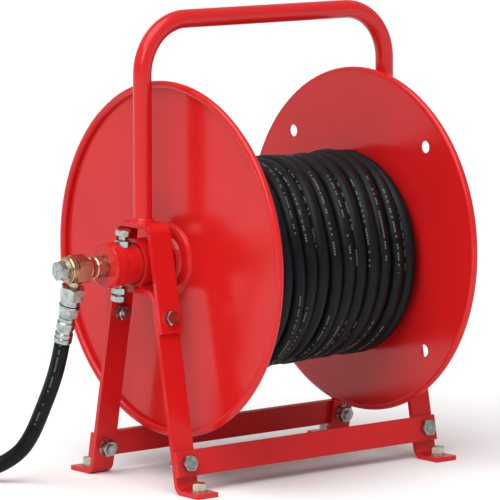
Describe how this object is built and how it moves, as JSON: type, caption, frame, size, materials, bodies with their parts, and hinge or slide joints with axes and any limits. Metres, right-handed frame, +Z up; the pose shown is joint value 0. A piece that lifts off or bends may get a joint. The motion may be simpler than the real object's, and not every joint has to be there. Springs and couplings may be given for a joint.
{
  "type": "portable hose reel",
  "caption": "Portable hand-turned hose reel: red drum with rolled flanges in two bent-bar A-frames, tube carrying handle, black pressure hose and a swivel inlet with its feed hose.",
  "frame": {"origin": "On the floor under the reel, halfway along its overall length from the inlet plug to the plain axle cap, and midway between the feet.", "axes": "+X along the axle from the inlet side to the plain side, +Y from the front to the rear, +Z up."},
  "size_m": [0.8547, 0.4818, 0.5815],
  "materials": {
    "red_enamel": "gloss signal-red enamel over steel",
    "black_nylon": "black nylon bearing bush",
    "zinc_steel": "bright zinc plated steel",
    "yellow_zinc_steel": "yellow passivated zinc plated steel",
    "nickelled_brass": "machined brass with a thin dull nickel plating",
    "hose_rubber": "smooth black hose cover",
    "seal_rubber": "black nitrile O-rings"
  },
  "bodies": {
    "frame": {"a_frame_left": "red_enamel", "a_frame_right": "red_enamel", "rail_front": "red_enamel", "rail_rear": "red_enamel", "handle_tube": "red_enamel", "handle_bracket_left": "red_enamel", "handle_bracket_right": "red_enamel", "bearing_ring_left": "red_enamel", "bearing_ring_right": "red_enamel", "bearing_bush_left": "black_nylon", "bearing_bush_right": "black_nylon", "rail_bolts": "zinc_steel", "rail_washers": "zinc_steel", "rail_nuts": "zinc_steel", "bracket_bolts": "zinc_steel", "bracket_washers": "zinc_steel", "bracket_nuts": "zinc_steel", "foot_bolts": "yellow_zinc_steel", "foot_washers": "yellow_zinc_steel", "swivel_body": "nickelled_brass", "swivel_plug": "zinc_steel", "plug_washer": "nickelled_brass", "swivel_seals": "seal_rubber", "inlet_tail": "zinc_steel", "inlet_ferrule": "zinc_steel", "inlet_hose": "hose_rubber", "inlet_hose_coil": "hose_rubber", "supply_ferrule": "zinc_steel", "supply_tail": "zinc_steel", "supply_union_nut": "zinc_steel"},
    "drum": {"flange_left": "red_enamel", "flange_right": "red_enamel", "hub_left": "red_enamel", "hub_right": "red_enamel", "drum_core": "red_enamel", "axle_tube_left": "red_enamel", "axle_tube_right": "red_enamel", "end_cap_left": "red_enamel", "end_cap_right": "red_enamel", "clamp_block": "zinc_steel", "clamp_bolts": "zinc_steel", "clamp_lock_nuts": "zinc_steel", "feed_pipe": "zinc_steel", "feed_elbow": "nickelled_brass", "lead_in_tail": "zinc_steel", "lead_in_ferrule": "zinc_steel", "lead_in_hose": "hose_rubber", "wound_hose": "hose_rubber", "outlet_hose_end": "hose_rubber", "outlet_ferrule": "zinc_steel", "outlet_tail": "zinc_steel", "swivel_stem": "nickelled_brass"},
    "inlet_nut": {"inlet_union_nut": "zinc_steel"},
    "outlet_nut": {"outlet_union_nut": "zinc_steel"}
  },
  "joints": [
    {"name": "drum_spin", "type": "hinge", "parent": "frame", "child": "drum", "pos_m": [0.052, 0, 0.275], "axis": [1, 0, 0], "continuous": true},
    {"name": "inlet_nut_turn", "type": "hinge", "parent": "frame", "child": "inlet_nut", "pos_m": [-0.244, 0, 0.275], "axis": [0, 0.309, -0.9511], "continuous": true},
    {"name": "outlet_nut_turn", "type": "hinge", "parent": "drum", "child": "outlet_nut", "pos_m": [0.178, 0.143, 0.2], "axis": [0, 0, 1], "continuous": true}
  ]
}
